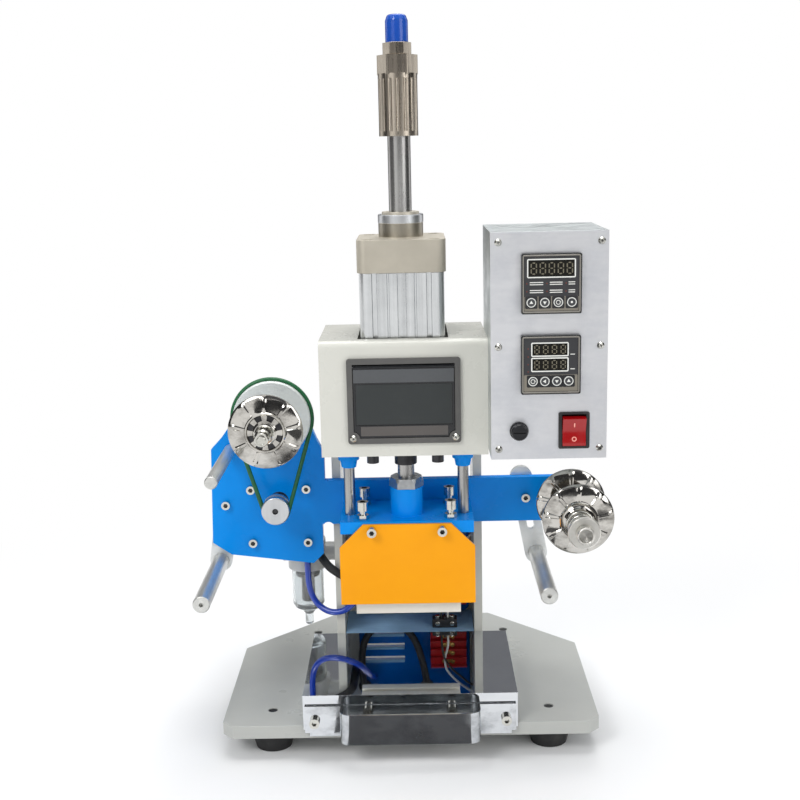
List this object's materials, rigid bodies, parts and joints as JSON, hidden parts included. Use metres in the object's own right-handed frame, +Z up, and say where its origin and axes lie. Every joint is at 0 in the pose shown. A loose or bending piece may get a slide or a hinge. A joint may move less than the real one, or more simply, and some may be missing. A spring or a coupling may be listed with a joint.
{
  "type": "pneumatic hot foil stamping machine",
  "caption": "Bench hot foil stamping press: an air cylinder drives a heated die plate down to a pull-out mirror tray, with foil reels each side and a control box on the right.",
  "frame": {"origin": "the point on the bench straight below the ram's axis", "axes": "+Z up along the ram, +X to the operator's right, -Y towards the operator"},
  "size_m": [0.3698, 0.27, 0.6274],
  "materials": {
    "grey_paint": "glossy light grey paint",
    "cream_paint": "glossy cream paint",
    "blue_paint": "glossy azure paint",
    "orange_paint": "glossy orange paint",
    "motor_paint": "satin dark grey paint",
    "rubber_black": "matt",
    "belt_green": "satin",
    "profile_alu": "drawn, satin",
    "panel_alu": "brushed",
    "cast_alu": "die cast, warm grey",
    "chrome": "polished",
    "mirror_steel": "mirror polished",
    "steel": "satin",
    "screw_zinc": "bright zinc",
    "dark_steel": "blackened",
    "table_steel": "ground",
    "hot_block": "heat darkened",
    "black_plastic": "fine grain",
    "gloss_black": "glossy",
    "key_plastic": "fine grain",
    "red_plastic": "glossy",
    "hose_blue": "glossy",
    "cap_blue": "tinted",
    "filter_white": "satin",
    "bowl_clear": "clear"
  },
  "bodies": {
    "machine": {"base_plate": "grey_paint", "feet": "rubber_black", "frame": "cream_paint", "head_shell": "cream_paint", "cylinder_barrel": "profile_alu", "cylinder_caps": "cast_alu", "floor_screws": "dark_steel", "guide_bushes": "blue_paint", "bezel": "black_plastic", "pan_screws": "screw_zinc", "foil_plate": "blue_paint", "motor": "motor_paint", "plate_screws": "screw_zinc", "roller_brackets": "steel", "anvil": "table_steel", "control_box": "panel_alu", "front_panel": "panel_alu", "instruments": "gloss_black", "rocker_frame": "black_plastic", "filter_head": "filter_white", "filter_bowl": "bowl_clear", "air_hose": "hose_blue", "motor_cable": "rubber_black", "feed_axle": "steel", "belt": "belt_green"},
    "ram": {"piston_rod": "chrome", "rod_nut": "steel", "slider": "blue_paint", "guide_rods": "chrome", "level_bolts": "screw_zinc", "guard": "orange_paint", "guard_screws": "screw_zinc", "hot_plate": "hot_block", "die_plate": "profile_alu", "top_nut": "steel", "end_cap": "cap_blue"},
    "sleeve": {"stroke_sleeve": "steel"},
    "work_tray": {"tray": "mirror_steel", "handle": "mirror_steel", "tray_screws": "screw_zinc"},
    "takeup_reel": {"takeup_pulley": "profile_alu", "takeup_disc": "chrome"},
    "drive_wheel": {"drive_pulley": "profile_alu"},
    "feed_reel": {"feed_discs": "chrome", "feed_spring": "steel", "feed_hub": "steel"},
    "upper_idler": {"roller_upper": "chrome"},
    "left_idler": {"roller_left": "chrome"},
    "right_idler": {"roller_right": "chrome"},
    "head_flap": {"flap": "gloss_black"},
    "counter_button_1": {"counter_key_1": "key_plastic"},
    "counter_button_2": {"counter_key_2": "key_plastic"},
    "counter_button_3": {"counter_key_3": "key_plastic"},
    "counter_button_4": {"counter_key_4": "key_plastic"},
    "temp_button_1": {"temp_key_1": "key_plastic"},
    "temp_button_2": {"temp_key_2": "key_plastic"},
    "temp_button_3": {"temp_key_3": "key_plastic"},
    "temp_button_4": {"temp_key_4": "key_plastic"},
    "power_rocker": {"rocker": "red_plastic"},
    "fuse_holder_cap": {"fuse_cap": "black_plastic"}
  },
  "joints": [
    {"name": "ram_slide", "type": "slide", "parent": "machine", "child": "ram", "axis": [0, 0, -1], "range_m": [0, 0.045]},
    {"name": "sleeve_turn", "type": "hinge", "parent": "ram", "child": "sleeve", "pos_m": [0, 0, 0.56], "axis": [0, 0, 1], "continuous": true},
    {"name": "tray_slide", "type": "slide", "parent": "machine", "child": "work_tray", "axis": [0, -1, 0], "range_m": [0, 0.09]},
    {"name": "takeup_spin", "type": "hinge", "parent": "machine", "child": "takeup_reel", "pos_m": [-0.12, 0.016, 0.2825], "axis": [0, 1, 0], "continuous": true},
    {"name": "drive_spin", "type": "hinge", "parent": "machine", "child": "drive_wheel", "pos_m": [-0.12, 0.016, 0.197], "axis": [0, 1, 0], "continuous": true},
    {"name": "feed_spin", "type": "hinge", "parent": "machine", "child": "feed_reel", "pos_m": [0.149, 0, 0.2005], "axis": [0, 1, 0], "continuous": true},
    {"name": "upper_idler_spin", "type": "hinge", "parent": "machine", "child": "upper_idler", "pos_m": [-0.1635, 0, 0.2475], "axis": [0, 1, 0], "continuous": true},
    {"name": "left_idler_spin", "type": "hinge", "parent": "machine", "child": "left_idler", "pos_m": [-0.179, 0, 0.1365], "axis": [0, 1, 0], "continuous": true},
    {"name": "right_idler_spin", "type": "hinge", "parent": "machine", "child": "right_idler", "pos_m": [0.1218, 0, 0.139], "axis": [0, 1, 0], "continuous": true},
    {"name": "flap_hinge", "type": "hinge", "parent": "machine", "child": "head_flap", "pos_m": [0, -0.05175, 0.33995], "axis": [-1, 0, 0], "range_deg": [0, 100]},
    {"name": "counter_key_1_press", "type": "slide", "parent": "machine", "child": "counter_button_1", "axis": [0, 1, 0], "range_m": [0, 0.0005], "stiffness_N_per_m": 1200},
    {"name": "counter_key_2_press", "type": "slide", "parent": "machine", "child": "counter_button_2", "axis": [0, 1, 0], "range_m": [0, 0.0005], "stiffness_N_per_m": 1200},
    {"name": "counter_key_3_press", "type": "slide", "parent": "machine", "child": "counter_button_3", "axis": [0, 1, 0], "range_m": [0, 0.0005], "stiffness_N_per_m": 1200},
    {"name": "counter_key_4_press", "type": "slide", "parent": "machine", "child": "counter_button_4", "axis": [0, 1, 0], "range_m": [0, 0.0005], "stiffness_N_per_m": 1200},
    {"name": "temp_key_1_press", "type": "slide", "parent": "machine", "child": "temp_button_1", "axis": [0, 1, 0], "range_m": [0, 0.0005], "stiffness_N_per_m": 1200},
    {"name": "temp_key_2_press", "type": "slide", "parent": "machine", "child": "temp_button_2", "axis": [0, 1, 0], "range_m": [0, 0.0005], "stiffness_N_per_m": 1200},
    {"name": "temp_key_3_press", "type": "slide", "parent": "machine", "child": "temp_button_3", "axis": [0, 1, 0], "range_m": [0, 0.0005], "stiffness_N_per_m": 1200},
    {"name": "temp_key_4_press", "type": "slide", "parent": "machine", "child": "temp_button_4", "axis": [0, 1, 0], "range_m": [0, 0.0005], "stiffness_N_per_m": 1200},
    {"name": "rocker_tip", "type": "hinge", "parent": "machine", "child": "power_rocker", "pos_m": [0.1383, -0.0845, 0.2913], "axis": [-1, 0, 0], "range_deg": [0, 18]},
    {"name": "fuse_turn", "type": "hinge", "parent": "machine", "child": "fuse_holder_cap", "pos_m": [0.0936, -0.0865, 0.2915], "axis": [0, 1, 0], "range_deg": [0, 60]}
  ],
  "couplings": [
    {"joint": "drive_spin", "follows": "takeup_spin", "ratio": 3.1304}
  ]
}
